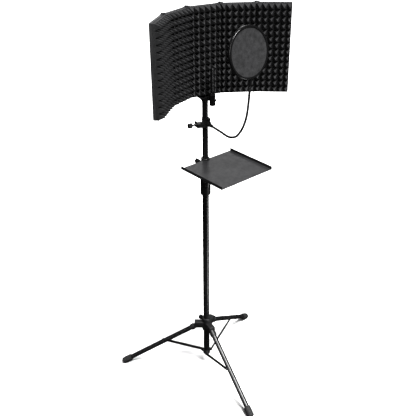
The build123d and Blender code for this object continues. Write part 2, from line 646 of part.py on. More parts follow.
def shield_bracket():
    """Angle bracket under and behind the middle panel."""
    half = BRACKET_WIDTH / 2
    x0, x1 = PANEL_OFFSET_X - half, PANEL_OFFSET_X + half
    z1 = BRACKET_Z + BRACKET_THICK
    plate = block(x0, x1, -15, PANEL_BACK_Y + BRACKET_THICK, BRACKET_Z, z1)
    plate = fillet(plate.edges().filter_by(Axis.Z).group_by(Axis.Y)[0], 12)
    flange = block(x0, x1, PANEL_BACK_Y, PANEL_BACK_Y + BRACKET_THICK, BRACKET_Z, PANEL_BOTTOM + 62)
    flange = fillet(flange.edges().filter_by(Axis.Y).group_by(Axis.Z)[-1], 10)
    bracket = plate + flange - disc(NECK_SOCKET_R + 0.02, BRACKET_Z - 1, z1 + 1)
    for x, z in bracket_screw_places():
        bracket -= bar_y(2.52, x, z, PANEL_BACK_Y - 1, PANEL_BACK_Y + 10)
    return bracket


def bracket_screw_places():
    """Screw positions (x, z) on the bracket's upright flange."""
    return [(PANEL_OFFSET_X + dx, PANEL_BOTTOM + dz) for dx in (-15, 15) for dz in (18, 48)]


def bracket_screws():
    """Pan-head screws through the flange into the middle panel."""
    outer = PANEL_BACK_Y + BRACKET_THICK
    screws = []
    for x, z in bracket_screw_places():
        head = bar_y(4.6, x, z, outer, outer + 2.4)
        head = fillet(head.edges().group_by(Axis.Y)[-1], 1.4)
        screws.append(head + bar_y(2.5, x, z, PANEL_BACK_Y, outer))
    return Compound(screws)


def mic_arm():
    """Arm whose ring turns on the socket's neck; its upright web ends in the boss for the mount."""
    z0 = SOCKET_TOP + 0.2
    z1 = z0 + ARM_THICK
    face = MIC_REACH - MIC_BODY_R - GAP
    arm = disc(SOCKET_R, z0, z1) + block(0, face - 3, -6, 6, z0, z1)
    web = block(SOCKET_R, face - 3, -2.5, 2.5, z0, MIC_BOLT_Z + 5)
    arm += web + chamfer(ends(bar_x(8, face - 6, face, z=MIC_BOLT_Z), Axis.X), 0.8)
    arm -= bar_y(1.9, SOCKET_R + 3.4, MIC_BOLT_Z - 1.5, -10, 10)
    arm -= disc(NECK_SOCKET_R + RUN, z0 - 1, z1 + 1)
    arm -= bar_x(MIC_BOLT_R + 0.02, face - 6, face + 5, z=MIC_BOLT_Z)
    return turn(REACH_AZIMUTH) * arm


def mic_mount_body():
    """Round body that tilts on the arm's bolt, with the threaded post for the microphone."""
    body = disc(MIC_BODY_R, MIC_BODY_BOTTOM, MIC_BODY_TOP)
    body = fillet(body.edges().group_by(Axis.Z)[0], 2.5)
    body += Pos(0, 0, MIC_BODY_TOP + 4) * Cone(MIC_BODY_R, STUD_R, 8)
    post = disc(STUD_R, MIC_BODY_TOP, MIC_POST_TOP)
    body += chamfer(post.edges().group_by(Axis.Z)[-1], 1.0)
    body -= bar_x(MIC_BOLT_R + RUN, -20, 20, z=MIC_BOLT_Z)
    return turn(REACH_AZIMUTH) * Pos(MIC_REACH, 0, 0) * body


def mic_mount_bolt():
    """Bolt through the mount's body into the arm's boss, with a domed head at the front."""
    front = MIC_REACH + MIC_BODY_R + 0.2
    rear = MIC_REACH - MIC_BODY_R - GAP - 6
    bolt = bar_x(MIC_BOLT_R, rear, front, z=MIC_BOLT_Z)
    head = bar_x(4.6, front, front + 8, z=MIC_BOLT_Z)
    head = fillet(head.edges().group_by(Axis.X)[-1], 3.0)
    return turn(REACH_AZIMUTH) * (bolt + head)


# ------------------------------------------------------------------ assembly
def working_nodes():
    """Every piece by name, in the working frame."""
    nodes = {
        "lower_tube": lower_tube(),
        "lower_tube_plug": lower_tube_plug(),
        "brace_bracket": brace_bracket(),
        "brace_rivets": brace_rivets(),
        "clutch_body": clutch_body(),
        "clutch_bush": clutch_bush(),
        "clutch_grip": clutch_grip(),
        "hub_collar": hub_collar(),
        "hub_lock_knob": hub_lock_knob(),
        "leg_pivot_rivets": leg_pivot_rivets(),
        "upper_tube": upper_tube(),
        "upper_tube_guide": upper_tube_guide(),
        "tube_top_stud": tube_top_stud(),
        "shelf_clamp_liner": clamp_liner(SHELF_CLAMP_BOTTOM, SHELF_CLAMP_TOP),
        "shelf_clamp": shelf_clamp(),
        "shelf_tray": shelf_tray(),
        "shelf_studs": shelf_studs(),
        "shelf_clamp_knob": shelf_clamp_knob(),
        "popfilter_clamp_liner": clamp_liner(POP_CLAMP_BOTTOM + 2, POP_CLAMP_TOP + 7),
        "popfilter_clamp": popfilter_clamp(),
        "popfilter_clamp_knob": popfilter_clamp_knob(),
        "gooseneck": gooseneck(),
        "gooseneck_ferrule": gooseneck_ferrule(),
        "popfilter_hoop": popfilter_hoop(),
        "popfilter_spacer": popfilter_spacer(),
        "popfilter_mesh_front": popfilter_mesh(1),
        "popfilter_mesh_rear": popfilter_mesh(-1),
        "shield_socket": shield_socket(),
        "shield_bracket": shield_bracket(),
        "bracket_screws": bracket_screws(),
        "mic_arm": mic_arm(),
        "mic_mount_body": mic_mount_body(),
        "mic_mount_bolt": mic_mount_bolt(),
    }
    for name, azimuth in LEG_AZIMUTHS.items():
        leg = leg_plane(azimuth).location
        nodes[f"leg_fitting_{name}"] = leg * leg_fitting()
        nodes[f"leg_tube_{name}"] = leg * leg_tube()
        nodes[f"foot_cap_{name}"] = leg * foot_cap()
        nodes[f"brace_{name}"] = brace_plane(azimuth).location * brace()
    for index in range(5):
        place = panel_frame_location(index)
        nodes[f"panel_frame_{index + 1}"] = place * panel_frame(index)
        nodes[f"panel_foam_{index + 1}"] = place * panel_foam(index)
        if index < 4:
            nodes[f"hinge_pin_{index + 1}"] = place * hinge_pin()
    return nodes


def origin_in_working_frame(nodes):
    """Middle of the whole object's bounding box, on the floor."""
    boxes = [node.bounding_box() for node in nodes.values()]
    x0, y0, z0 = (min(getattr(box.min, axis) for box in boxes) for axis in "XYZ")
    x1, y1 = (max(getattr(box.max, axis) for box in boxes) for axis in "XY")
    return Vector((x0 + x1) / 2, (y0 + y1) / 2, z0)


def main():
    nodes = working_nodes()
    origin = origin_in_working_frame(nodes)
    os.makedirs("parts", exist_ok=True)
    for name, node in nodes.items():
        export_step(Pos(-origin.X, -origin.Y, -origin.Z) * node, f"parts/{name}.step")
    print("origin in the working frame", origin)
    print("fold travel", FOLD_TRAVEL, "leg", LEG_ANGLE, "brace", BRACE_ANGLE, FOLDED_BRACE_ANGLE)
    print("gooseneck radii", [round(radius) for radius in neck_radii()])


if __name__ == "__main__":
    main()
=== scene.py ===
"""Looks of the microphone isolation shield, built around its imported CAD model.

Everything is in metres in the model's own frame: +Z up along the column, +X along the middle panel of
the shield, -Y towards the singer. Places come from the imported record's joints and from the CAD boxes.
"""
import json
import math
import random

import bmesh
import bpy
from mathutils import Matrix, Vector


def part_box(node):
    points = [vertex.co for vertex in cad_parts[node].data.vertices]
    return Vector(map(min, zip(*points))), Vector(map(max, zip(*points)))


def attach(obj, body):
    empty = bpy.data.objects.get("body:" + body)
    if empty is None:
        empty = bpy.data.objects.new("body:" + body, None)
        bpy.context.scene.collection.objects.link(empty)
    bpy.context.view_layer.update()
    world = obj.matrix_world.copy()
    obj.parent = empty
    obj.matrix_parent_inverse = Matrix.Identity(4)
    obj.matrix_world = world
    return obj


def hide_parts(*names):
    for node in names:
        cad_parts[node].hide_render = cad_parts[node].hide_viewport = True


MM = 0.001

# the photograph's viewpoint, from the foot of the column
VIEW_HEADING = math.radians(26.56)
VIEW_PITCH = math.radians(29.32)
VIEW_ROLL = -0.005
VIEW_SIDE = 0.0094
VIEW_DISTANCE = 2.3668
VIEW_HEIGHT = 2.1635
VIEW_LENS = 57.5

# panels: the same driving sizes as the CAD model
PANEL_PITCH = 132 * MM
PANEL_HEIGHT = 330 * MM
BEND_OUTER_LEFT = math.radians(21.0)
BEND_OUTER_RIGHT = math.radians(8.05)
HINGE_DEPTH = 5.5 * MM
RIM_DEPTH = 11 * MM
SHEET = 1.0 * MM
TRAY_INSET = 3.5 * MM
EAR_R = 5 * MM
EAR_THICK = 1.2 * MM
EAR_GAP = 0.3 * MM
EAR_REACH = 12 * MM
RISER_START = 6 * MM
PIN_HOLE_R = 1.86 * MM

# foam
FOAM_SLAB_DEPTH = 21 * MM
FOAM_DEPTH = 44 * MM
SPARE_BEND = math.radians(7)      # how much further two panels fold in before their foam meets
FOAM_GAP = 0.3 * MM
FOAM_ROWS = 14
FOAM_COLUMN_EDGES = [22 * MM, 44 * MM, 66 * MM, 88 * MM, 110 * MM]
FOAM_STEPS = (-1.0, -0.88, -0.47, -0.06, 0.06, 0.47, 0.88)    # across one pyramid

FOAM_TIP_HEIGHT = 0.96            # share of the full rise
FOAM_FOOT = 0.88                  # where the faces start, on a half cell of 1
FOAM_TIP = 0.06                   # half width of the blunt tip, on a half cell of 1
FOAM_TIP_LOSS = 0.07              # most that a tip falls short by
FOAM_LEAN = 0.05                  # most that a tip leans by

# perforated back sheets
HOLE_PITCH = 9 * MM
HOLE_R = 2.4 * MM

# pop filter
RING_TILT = math.radians(9)
FABRIC_R = 82.5 * MM
FABRIC_OFFSET = 3.4 * MM
FABRIC_THICK = 0.6 * MM
FABRIC_DISH = 0.5 * MM

# gooseneck: the CAD model's route, as distance in front of the column's axis and height
NECK_R = 4.2 * MM
NECK_GROOVE = 0.5 * MM
NECK_PITCH = 3.2 * MM
NECK_ROUTE = [
    (40.0, 1204.2), (88.0, 1197.4), (134.0, 1189.0), (173.0, 1203.0),
    (204.0, 1243.0), (224.0, 1293.0), (231.5, 1345.0), (237.5, 1414.0),
]
NECK_FLOOR = 0.052        # height of the floor on the route's scale, mm

# thread of the microphone post: a ridge that stands proud of the plain CAD post
POST_R = 7.94 * MM
POST_CHAMFER = 1.6 * MM
THREAD_PITCH = 25.4 / 27 * MM
THREAD_RELIEF = 0.25 * MM
THREAD_ROOT = 0.1 * MM
THREAD_HALF = 0.3                 # half width of the ridge's foot, in pitches
THREAD_LENGTH = 86 * MM

# studio
BACKDROP = 1.0                    # what the camera sees behind the floor
FILL = 0.05                       # what the surroundings light the object with
SUN_FROM = (0.08, -0.46, 0.88)
SUN_STRENGTH = 9.0
SUN_SPREAD = math.radians(30)
SOFTBOXES = [                     # name, place, target, width, height, power
    ("back", (0.9, 2.6, 2.3), (0, 0, 1.1), 1.6, 1.0, 8),
    ("left", (-2.4, -0.5, 2.2), (0, 0, 1.3), 0.6, 1.6, 8),
    ("gloss", (-2.2, -0.9, 2.4), (0, 0, 1.4), 0.5, 1.6, 30),
    ("floor_strip", (1.18, -1.08, 0.02), (1.18, -1.08, 1.0), 0.3, 2.4, 20),
]
STRIP_TURN = math.radians(47.4)   # lays the strip's length along the floor, away from the column
VIEW_GAMMA = 0.82
FLOOR_HALF = 30
FLOOR_DROP = 0.5 * MM

random.seed(7)


# ------------------------------------------------------------------ frame and camera
def add_camera(foot):
    """Camera at the photograph's viewing angle."""
    data = bpy.data.cameras.new("camera")
    data.lens = VIEW_LENS
    data.sensor_width = 36
    data.clip_end = 100
    camera = bpy.data.objects.new("camera", data)
    bpy.context.scene.collection.objects.link(camera)
    heading = Matrix.Rotation(-VIEW_HEADING, 4, "Z")
    stand = Matrix.Translation(foot) @ heading
    place = Matrix.Translation((VIEW_SIDE, -VIEW_DISTANCE, VIEW_HEIGHT))
    tilt = Matrix.Rotation(math.pi / 2 - VIEW_PITCH, 4, "X")
    camera.matrix_world = stand @ place @ tilt @ Matrix.Rotation(VIEW_ROLL, 4, "Z")
    bpy.context.scene.camera = camera


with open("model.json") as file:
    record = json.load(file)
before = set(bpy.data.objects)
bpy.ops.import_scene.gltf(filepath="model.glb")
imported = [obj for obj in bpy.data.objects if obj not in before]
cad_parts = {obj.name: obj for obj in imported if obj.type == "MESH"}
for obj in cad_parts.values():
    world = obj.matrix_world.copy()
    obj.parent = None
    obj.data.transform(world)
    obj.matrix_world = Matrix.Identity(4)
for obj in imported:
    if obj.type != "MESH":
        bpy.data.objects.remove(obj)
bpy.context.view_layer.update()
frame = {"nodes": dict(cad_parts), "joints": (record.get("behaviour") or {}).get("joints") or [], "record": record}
record = frame["record"]
joints = {joint["name"]: joint for joint in frame["joints"]}
axis_point = Vector(joints["clutch_twist"]["pos_m"])
column_foot = Vector((axis_point.x, axis_point.y, 0))
reach = Vector(joints["mic_tilt"]["axis"])
reach_turn = math.atan2(reach.y, reach.x)
add_camera(column_foot)


# ------------------------------------------------------------------ materials
class Nodes:
    """Small helper that wires one procedural material."""

    def __init__(self, name):
        self.material = bpy.data.materials.new(name)
        self.material.use_nodes = True
        self.tree = self.material.node_tree
        self.shader = self.tree.nodes["Principled BSDF"]
        self.coords = self.tree.nodes.new("ShaderNodeTexCoord").outputs["Object"]

    def link(self, source, target):
        self.tree.links.new(source, target)

    def noise(self, scale, detail=3.0, stretch=None):
        node = self.tree.nodes.new("ShaderNodeTexNoise")
        node.inputs["Scale"].default_value = scale
        node.inputs["Detail"].default_value = detail
        source = self.coords
        if stretch:
            mapping = self.tree.nodes.new("ShaderNodeMapping")
            mapping.inputs["Scale"].default_value = stretch
            self.link(source, mapping.inputs["Vector"])
            source = mapping.outputs["Vector"]
        self.link(source, node.inputs["Vector"])
        return node.outputs["Fac"]

    def cells(self, scale):
        node = self.tree.nodes.new("ShaderNodeTexVoronoi")
        node.inputs["Scale"].default_value = scale
        self.link(self.coords, node.inputs["Vector"])
        return node.outputs["Distance"]

    def spread(self, value, low, high, start=0.3, end=0.7):
        """Maps a texture's start..end onto low..high."""
        node = self.tree.nodes.new("ShaderNodeMapRange")
        node.inputs["From Min"].default_value = start
        node.inputs["From Max"].default_value = end
        node.inputs["To Min"].default_value = low
        node.inputs["To Max"].default_value = high
        self.link(value, node.inputs["Value"])
        return node.outputs["Result"]

    def colours(self, value, first, second):
        ramp = self.tree.nodes.new("ShaderNodeValToRGB")
        ramp.color_ramp.elements[0].position = 0.3
        ramp.color_ramp.elements[1].position = 0.7
        ramp.color_ramp.elements[0].color = (*first, 1)
        ramp.color_ramp.elements[1].color = (*second, 1)
        self.link(value, ramp.inputs["Fac"])
        self.link(ramp.outputs["Color"], self.shader.inputs["Base Color"])

    def bump(self, height, strength, distance):
        node = self.tree.nodes.new("ShaderNodeBump")
        node.inputs["Strength"].default_value = strength
        node.inputs["Distance"].default_value = distance
        self.link(height, node.inputs["Height"])
        self.link(node.outputs["Normal"], self.shader.inputs["Normal"])


def grey(level, blue=1.04):
    """Neutral dark colour with a touch of blue."""
    return (level, level, level * blue)


def coated(name, level, roughness, grain=900.0, relief=0.25):
    """Powder coat or paint: orange peel, slight patchiness and rubbed places."""
    n = Nodes(name)
    n.colours(n.noise(28), grey(level * 0.8), grey(level * 1.25))
    n.link(n.spread(n.noise(70, 4), roughness - 0.05, roughness + 0.07), n.shader.inputs["Roughness"])
    n.shader.inputs["IOR"].default_value = 1.5
    n.bump(n.noise(grain, 2), relief, 0.12 * MM)
    return n.material


def moulded(name, level, roughness, grain, relief):
    """Moulded plastic with a fine spark-eroded texture."""
    n = Nodes(name)
    n.colours(n.noise(40), grey(level * 0.85), grey(level * 1.2))
    n.link(n.spread(n.noise(120, 4), roughness - 0.06, roughness + 0.06), n.shader.inputs["Roughness"])
    n.bump(n.cells(grain), relief, 0.1 * MM)
    return n.material


def metal(name, level, roughness):
    """Blackened steel with fine turning marks round the vertical."""
    n = Nodes(name)
    n.colours(n.noise(60), grey(level * 0.8), grey(level * 1.3))
    n.shader.inputs["Metallic"].default_value = 0.75
    n.link(n.spread(n.noise(150, 4), roughness - 0.06, roughness + 0.08), n.shader.inputs["Roughness"])
    n.bump(n.noise(300, 2, stretch=(1, 1, 8)), 0.2, 0.05 * MM)
    return n.material


def rubber():
    """Matt rubber, dusty in patches."""
    n = Nodes("foot_rubber")
    n.colours(n.noise(90, 5), grey(0.014), grey(0.032, 1.0))
    n.link(n.spread(n.noise(200, 4), 0.68, 0.86), n.shader.inputs["Roughness"])
    n.bump(n.noise(1500, 3), 0.35, 0.15 * MM)
    return n.material


def foam():
    """Dense foam: small pits, a slight sheen on its cut faces, slightly uneven dye."""
    n = Nodes("acoustic_foam")
    n.colours(n.noise(55, 5), grey(0.018), grey(0.032))
    n.link(n.spread(n.noise(140, 4), 0.44, 0.56), n.shader.inputs["Roughness"])
    n.bump(n.cells(750), 0.35, 0.3 * MM)
    return n.material


def fabric():
    """Knitted nylon mesh with small openings between its threads."""
    n = Nodes("popfilter_fabric")
    n.colours(n.noise(70, 5), grey(0.022), grey(0.056))
    n.shader.inputs["Roughness"].default_value = 0.8
    n.shader.inputs["Sheen Weight"].default_value = 0.12
    knit = n.cells(1400)
    n.link(n.spread(knit, 0.95, 0.55, 0.25, 0.7), n.shader.inputs["Alpha"])
    n.bump(knit, 0.5, 0.2 * MM)
    return n.material


MATERIALS = {
    "powder_coated_tube": coated("powder_coated_tube", 0.012, 0.27),
    "powder_coated_bracket": coated("powder_coated_bracket", 0.014, 0.36),
    "cast_metal": coated("cast_metal", 0.014, 0.4, grain=500, relief=0.4),
    "shelf_steel": coated("shelf_steel", 0.03, 0.34, grain=1100),
    "panel_steel": coated("panel_steel", 0.04, 0.42, grain=1000),
    "moulded_plastic": moulded("moulded_plastic", 0.014, 0.45, 1800, 0.3),
    "knob_plastic": moulded("knob_plastic", 0.013, 0.3, 2200, 0.15),
    "hoop_plastic": moulded("hoop_plastic", 0.01, 0.22, 2500, 0.1),
    "black_fastener": metal("black_fastener", 0.035, 0.38),
    "mount_metal": metal("mount_metal", 0.03, 0.3),
    "gooseneck_metal": coated("gooseneck_metal", 0.011, 0.33, grain=1500),
    "foot_rubber": rubber(),
    "acoustic_foam": foam(),
    "popfilter_fabric": fabric(),
}


# ------------------------------------------------------------------ mesh helpers
def new_piece(name, mesh, slot, body, replaced=()):
    """Finished mesh as a piece that rides on a body and stands for any CAD nodes it replaces."""
    piece = bpy.data.objects.new(name, mesh)
    bpy.context.scene.collection.objects.link(piece)
    mesh.materials.append(MATERIALS[slot])
    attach(piece, body)
    if replaced:
        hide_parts(*replaced)
    return piece


def mesh_from(bm, name, place=None, smooth=None):
    """Mesh of a bmesh, moved to its place; smooth is the angle below which edges are soft."""
    bmesh.ops.remove_doubles(bm, verts=bm.verts, dist=1e-6)
    bmesh.ops.recalc_face_normals(bm, faces=bm.faces)
    mesh = bpy.data.meshes.new(name)
    bm.to_mesh(mesh)
    bm.free()
    if place:
        mesh.transform(place)
    if smooth is not None:
        mesh.polygons.foreach_set("use_smooth", [True] * len(mesh.polygons))
        mesh.set_sharp_from_angle(angle=smooth)
    return mesh


def loop_faces(bm, first, second):
    """Quads between two closed rows of vertices."""
    for i in range(len(first)):
        j = (i + 1) % len(first)
        bm.faces.new((first[i], first[j], second[j], second[i]))


def closed_tube(bm, rings):
    """Skin over a stack of rings, with both ends capped."""
    rows = [[bm.verts.new(point) for point in ring] for ring in rings]
    for first, second in zip(rows, rows[1:]):
        loop_faces(bm, first, second)
    bm.faces.new(rows[0])
    bm.faces.new(rows[-1])


# ------------------------------------------------------------------ shield panels
def panel_places():
    """Place and direction of each panel: origin on its left hinge line, X along it, Y to its back."""
    names = ["outer_left", "inner_left", "inner_right", "outer_right"]
    points = [Vector(joints[f"panel_hinge_{name}"]["pos_m"]) for name in names]
    turns = [math.atan2(b.y - a.y, b.x - a.x) for a, b in zip(points, points[1:])]
    turns = [turns[0] + BEND_OUTER_LEFT, *turns, turns[-1] - BEND_OUTER_RIGHT]
    along = Vector((math.cos(turns[0]), math.sin(turns[0]), 0))
    points = [points[0] - along * PANEL_PITCH, *points]
    places = [Matrix.Translation(p) @ Matrix.Rotation(t, 4, "Z") for p, t in zip(points, turns)]
    return places, turns


def rim_section():
    """Section of the rim: (distance inwards from the tray's edge, Y), round at both outer edges."""
    back, front, r = HINGE_DEPTH, HINGE_DEPTH - RIM_DEPTH, 0.7 * MM
    quarter = [math.radians(a) for a in (0, 30, 60, 90)]
    rear = [(r - r * math.sin(a), back - r + r * math.cos(a)) for a in quarter]
    fore = [(r - r * math.cos(a), front + r - r * math.sin(a)) for a in quarter]
    return [(SHEET, back), *rear, *fore, (SHEET, front)]


def add_rim(bm):
    """Turned rim of the tray, swept round the panel's four sides."""
    x0, x1 = TRAY_INSET, PANEL_PITCH - TRAY_INSET
    corners = [(x0, 0, 1, 1), (x1, 0, -1, 1), (x1, PANEL_HEIGHT, -1, -1), (x0, PANEL_HEIGHT, 1, -1)]
    section = rim_section()
    rows = []
    for x, z, inward_x, inward_z in corners:
        rows.append([bm.verts.new((x + inward_x * d, y, z + inward_z * d)) for d, y in section])
    for i, row in enumerate(rows):
        loop_faces(bm, row, rows[(i + 1) % 4])


def add_perforated_sheet(bm):
    """Back sheet with rows of round holes."""
    x0, x1 = TRAY_INSET + SHEET, PANEL_PITCH - TRAY_INSET - SHEET
    z0, z1 = SHEET, PANEL_HEIGHT - SHEET
    across, up = int((x1 - x0) / HOLE_PITCH), int((z1 - z0) / HOLE_PITCH)
    wide, high = (x1 - x0) / across, (z1 - z0) / up
    thirds = [-0.5, -1 / 6, 1 / 6]
    edge = [(t, -0.5) for t in thirds] + [(0.5, t) for t in thirds]
    edge += [(-t, 0.5) for t in thirds] + [(-0.5, -t) for t in thirds]
    sides = (HINGE_DEPTH, HINGE_DEPTH - SHEET)
    for i in range(across):
        for j in range(up):
            cx, cz = x0 + (i + 0.5) * wide, z0 + (j + 0.5) * high
            holes = []
            for y in sides:
                outer = [bm.verts.new((cx + u * wide, y, cz + v * high)) for u, v in edge]
                turns = [math.atan2(v, u) for u, v in edge]
                rim = [(cx + HOLE_R * math.cos(a), cz + HOLE_R * math.sin(a)) for a in turns]
                hole = [bm.verts.new((x, y, z)) for x, z in rim]
                loop_faces(bm, outer, hole)
                holes.append(hole)
            loop_faces(bm, *holes)
    outline = [(x0 + i * wide / 3, z0) for i in range(across * 3)]
    outline += [(x1, z0 + j * high / 3) for j in range(up * 3)]
    outline += [(x1 - i * wide / 3, z1) for i in range(across * 3)]
    outline += [(x0, z1 - j * high / 3) for j in range(up * 3)]
    loop_faces(bm, *[[bm.verts.new((x, y, z)) for x, z in outline] for y in sides])


def add_ear(bm, x, inward, z0, z1):
    """Hinge ear: round end about the hinge line, with the pin's hole."""
    corner = math.atan2(EAR_R, EAR_REACH)
    angles = sorted([math.radians(a) for a in range(-180, 180, 15)] + [corner, -corner])
    inner, outer = [], []
    for a in angles:
        c, s = math.cos(a), math.sin(a)
        far = EAR_R if c <= 0 else min(EAR_REACH / c, EAR_R / max(abs(s), 1e-9))
        inner.append((x + inward * PIN_HOLE_R * c, PIN_HOLE_R * s))
        outer.append((x + inward * far * c, far * s))
    rings = []
    for points, z in ((inner, z0), (outer, z0), (outer, z1), (inner, z1)):
        rings.append([bm.verts.new((px, py, z)) for px, py in points])
    for i, ring in enumerate(rings):
        loop_faces(bm, ring, rings[(i + 1) % 4])


def add_riser(bm, inward, z0, z1):
    """Step that lifts an upper ear off the panel's edge."""
    x0, x1 = sorted((inward * RISER_START, inward * EAR_REACH))
    ring = [(x0, -EAR_R), (x1, -EAR_R), (x1, EAR_R), (x0, EAR_R)]
    closed_tube(bm, [[(x, y, z) for x, y in ring] for z in (z0, z1)])


def panel_tray(index, place):
    """Steel tray: rim, perforated back and hinge ears."""
    bm = bmesh.new()
    add_rim(bm)
    add_perforated_sheet(bm)
    for edge, out in ((PANEL_HEIGHT, 1), (0.0, -1)):
        if index > 0:
            near = edge + out * (EAR_THICK + EAR_GAP)
            add_ear(bm, 0, 1, near, near + out * EAR_THICK)
            add_riser(bm, 1, edge, near)
        if index < 4:
            add_ear(bm, PANEL_PITCH, -1, edge, edge + out * EAR_THICK)
    return mesh_from(bm, f"panel_tray_{index + 1}", place, math.radians(35))


def foam_height(u, v):
    """Height of one pyramid at u, v in -1..1: flat faces, a blunt tip and a narrow valley floor."""
    share = (FOAM_FOOT - max(abs(u), abs(v))) / (FOAM_FOOT - FOAM_TIP)
    return FOAM_TIP_HEIGHT * min(max(share, 0.0), 1.0)


def foam_insets(index, turns, depth):
    """Insets of a pad's left and right edges from their hinge lines, at a depth from the panel's back."""
    insets = []
    for neighbour in (index - 1, index + 1):
        if 0 <= neighbour < len(turns):
            mitre = (abs(turns[neighbour] - turns[index]) + SPARE_BEND) / 2
            insets.append((depth - HINGE_DEPTH) * math.tan(mitre) + FOAM_GAP)
        else:
            insets.append(TRAY_INSET)
    return insets


def foam_front(left, right):
    """Rows of (x, y, z) points over the pyramids, between the slab's left and right insets."""
    edges = [left, *FOAM_COLUMN_EDGES, PANEL_PITCH - right]
    bottom, row = SHEET, (PANEL_HEIGHT - 2 * SHEET) / FOAM_ROWS
    columns = len(edges) - 1
    cells = [(i, j) for i in range(columns) for j in range(FOAM_ROWS)]
    tip = {cell: 1 - random.random() * FOAM_TIP_LOSS for cell in cells}
    lean = {cell: [random.uniform(-FOAM_LEAN, FOAM_LEAN) for _ in range(2)] for cell in cells}
    rise = FOAM_DEPTH - FOAM_SLAB_DEPTH
    across = [(i, u) for i in range(columns) for u in FOAM_STEPS] + [(columns - 1, 1.0)]
    upward = [(j, v) for j in range(FOAM_ROWS) for v in FOAM_STEPS] + [(FOAM_ROWS - 1, 1.0)]
    grid = []
    for j, v in upward:
        line = []
        for i, u in across:
            h = foam_height(u, v) * tip[i, j]
            half = (edges[i + 1] - edges[i]) / 2
            x = edges[i] + half * (1 + u + lean[i, j][0] * h)
            z = bottom + row * (j + (1 + v + lean[i, j][1] * h) / 2)
            line.append((x, HINGE_DEPTH - FOAM_SLAB_DEPTH - rise * h, z))
        grid.append(line)
    return grid


def foam_faces(bm, grid):
    """Faces over the pyramids, split along each pyramid's four edges."""
    count = len(FOAM_STEPS)
    for b, (low, high) in enumerate(zip(grid, grid[1:])):
        for a in range(len(low) - 1):
            corners = [low[a], low[a + 1], high[a + 1], high[a]]
            if a % count == b % count:
                bm.faces.new(corners[:3])
                bm.faces.new((corners[0], corners[2], corners[3]))
            elif a % count == count - 1 - b % count:
                bm.faces.new((corners[0], corners[1], corners[3]))
                bm.faces.new(corners[1:])
            else:
                bm.faces.new(corners)


def foam_pad(index, place, turns):
    """Foam pad: pyramids on a slab with mitred sides, and the part that sits in the tray."""
    left, right = foam_insets(index, turns, FOAM_SLAB_DEPTH)
    bm = bmesh.new()
    grid = [[bm.verts.new(point) for point in line] for line in foam_front(left, right)]
    foam_faces(bm, grid)
    border = grid[0][:-1] + [line[-1] for line in grid[:-1]]
    border += grid[-1][:0:-1] + [line[0] for line in grid[:0:-1]]
    width = PANEL_PITCH - left - right
    shares = [(point.co.x - left) / width for point in border]
    in_tray = [TRAY_INSET + SHEET] * 2
    previous = border
    for depth, (start, end) in (
        (RIM_DEPTH, foam_insets(index, turns, RIM_DEPTH)), (RIM_DEPTH, in_tray), (SHEET, in_tray),
    ):
        span = PANEL_PITCH - start - end
        y = HINGE_DEPTH - depth
        ring = [bm.verts.new((start + t * span, y, p.co.z)) for t, p in zip(shares, border)]
        loop_faces(bm, previous, ring)
        previous = ring
    bm.faces.new(previous)
    return mesh_from(bm, f"foam_pad_{index + 1}", place, math.radians(28))


PANEL_BODIES = ["panel_1", "panel_2", "shield", "panel_4", "panel_5"]
places, panel_turns = panel_places()
for index, place in enumerate(places):
    number, body = index + 1, PANEL_BODIES[index]
    tray, foam_mesh = panel_tray(index, place), foam_pad(index, place, panel_turns)
    new_piece(f"panel_tray_{number}", tray, "panel_steel", body, [f"panel_frame_{number}"])
    pad = new_piece(f"foam_pad_{number}", foam_mesh, "acoustic_foam", body, [f"panel_foam_{number}"])


# ------------------------------------------------------------------ pop filter
def ring_place():
    """Ring's centre, X along its axis towards the singer."""
    low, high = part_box("popfilter_spacer")
    centre = Matrix.Translation((low + high) / 2)
    return centre @ Matrix.Rotation(reach_turn, 4, "Z") @ Matrix.Rotation(-RING_TILT, 4, "Y")


def fabric_disc(side):
    """One stretched layer, dished slightly inwards between the hoop's sides."""
    bm = bmesh.new()
    around, circles = 72, 14
    faces = []
    for skin in (0.5, -0.5):
        rows = []
        for k in range(1, circles + 1):
            share = k / circles
            x = side * (FABRIC_OFFSET - FABRIC_DISH * (1 - share * share)) + skin * FABRIC_THICK
            turns = [2 * math.pi * i / around for i in range(around)]
            r = share * (FABRIC_R - 0.1 * MM)
            rows.append([bm.verts.new((x, r * math.cos(a), r * math.sin(a))) for a in turns])
        for first, second in zip(rows, rows[1:]):
            loop_faces(bm, first, second)
        bm.faces.new(rows[0])
        faces.append(rows[-1])
    loop_faces(bm, *faces)
    name = "popfilter_fabric_front" if side > 0 else "popfilter_fabric_rear"
    return mesh_from(bm, name, ring_place(), math.radians(60))


for side, node in ((1, "popfilter_mesh_front"), (-1, "popfilter_mesh_rear")):
    disc = fabric_disc(side)
    layer = new_piece(disc.name, disc, "popfilter_fabric", "popfilter_ring", [node])


# ------------------------------------------------------------------ gooseneck
def neck_line():
    """Points and directions along the gooseneck: straight runs joined by tangent arcs."""
    route = [Vector(p) * MM for p in NECK_ROUTE]
    pieces = []
    start = route[0]
    for before, corner, after in zip(route, route[1:], route[2:]):
        a, b = corner - before, after - corner
        bend = a.angle(b)
        cut = 0.45 * min(a.length, b.length)
        radius = cut / math.tan(bend / 2)
        entry, leave = corner - a.normalized() * cut, corner + b.normalized() * cut
        turn_side = 1 if a.x * b.y - a.y * b.x > 0 else -1
        normal = Vector((-a.y, a.x)).normalized() * turn_side
        pieces.append(("run", start, entry))
        pieces.append(("arc", entry + normal * radius, -normal * radius, bend * turn_side))
        start = leave
    pieces.append(("run", start, route[-1]))
    return pieces


